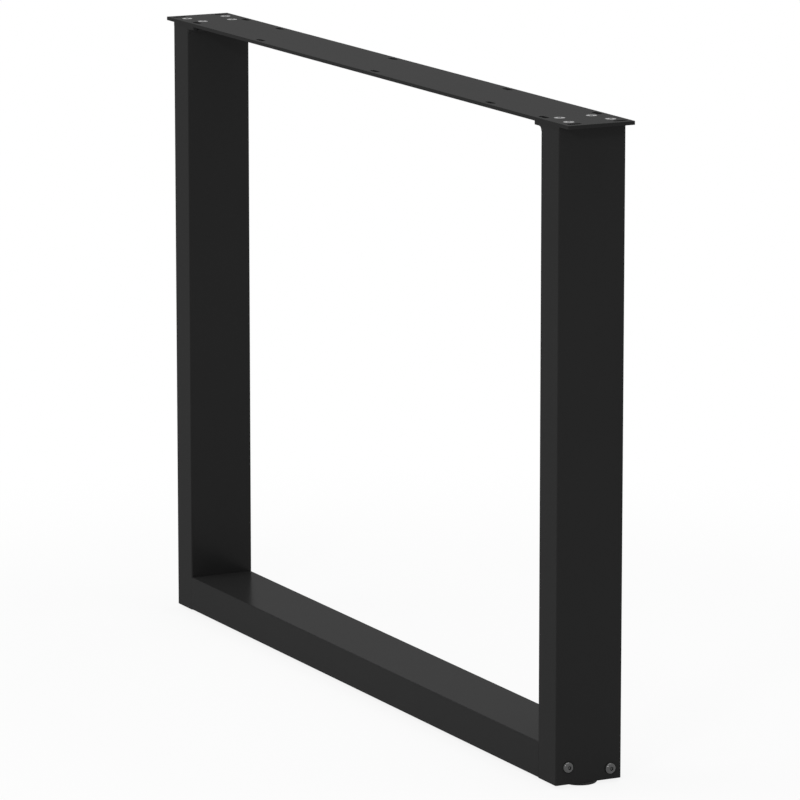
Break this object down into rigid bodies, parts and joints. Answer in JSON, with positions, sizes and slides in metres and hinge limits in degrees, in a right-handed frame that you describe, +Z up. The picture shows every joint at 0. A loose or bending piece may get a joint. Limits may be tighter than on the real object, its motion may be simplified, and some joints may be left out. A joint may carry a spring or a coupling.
{
  "type": "u shaped table leg",
  "caption": "U shaped steel table leg: a flat slotted plate for the table top, two posts and a floor bar of rectangular tube, on low round levelling feet.",
  "frame": {"origin": "on the floor under the middle of the frame, with the feet screwed fully in", "axes": "+X along the top plate towards the right post, +Y from front to back, +Z up to the table top"},
  "size_m": [1, 0.08, 0.72],
  "materials": {
    "black_powder_coat": "satin black powder coat on steel",
    "zinc_plated_steel": "bright zinc plated steel",
    "dark_zinc_steel": "dark zinc plated steel",
    "bare_steel": "plain mill steel inside the tubes",
    "black_plastic": "matt black moulded plastic"
  },
  "bodies": {
    "frame": {"top_plate": "black_powder_coat", "bottom_bar": "black_powder_coat", "right_post": "black_powder_coat", "left_post": "black_powder_coat", "right_head_plate": "black_powder_coat", "left_head_plate": "black_powder_coat", "right_head_weld": "black_powder_coat", "left_head_weld": "black_powder_coat", "right_base_plate": "black_powder_coat", "left_base_plate": "black_powder_coat", "right_foot_nut": "bare_steel", "left_foot_nut": "bare_steel", "right_bar_end": "bare_steel", "left_bar_end": "bare_steel", "right_bar_bolt_upper": "dark_zinc_steel", "right_bar_bolt_lower": "dark_zinc_steel", "left_bar_bolt_upper": "dark_zinc_steel", "left_bar_bolt_lower": "dark_zinc_steel", "right_plate_screw_outer_front": "dark_zinc_steel", "right_plate_screw_outer_back": "dark_zinc_steel", "right_plate_screw_inner_front": "dark_zinc_steel", "right_plate_screw_inner_back": "dark_zinc_steel", "left_plate_screw_outer_front": "dark_zinc_steel", "left_plate_screw_outer_back": "dark_zinc_steel", "left_plate_screw_inner_front": "dark_zinc_steel", "left_plate_screw_inner_back": "dark_zinc_steel"},
    "right_foot": {"right_foot_stud": "zinc_plated_steel", "right_foot_pad": "black_plastic"},
    "left_foot": {"left_foot_stud": "zinc_plated_steel", "left_foot_pad": "black_plastic"}
  },
  "joints": [
    {"name": "right_foot_height", "type": "slide", "parent": "frame", "child": "right_foot", "axis": [0, 0, 1], "range_m": [-0.01, 0]},
    {"name": "left_foot_height", "type": "slide", "parent": "frame", "child": "left_foot", "axis": [0, 0, 1], "range_m": [-0.01, 0]}
  ]
}
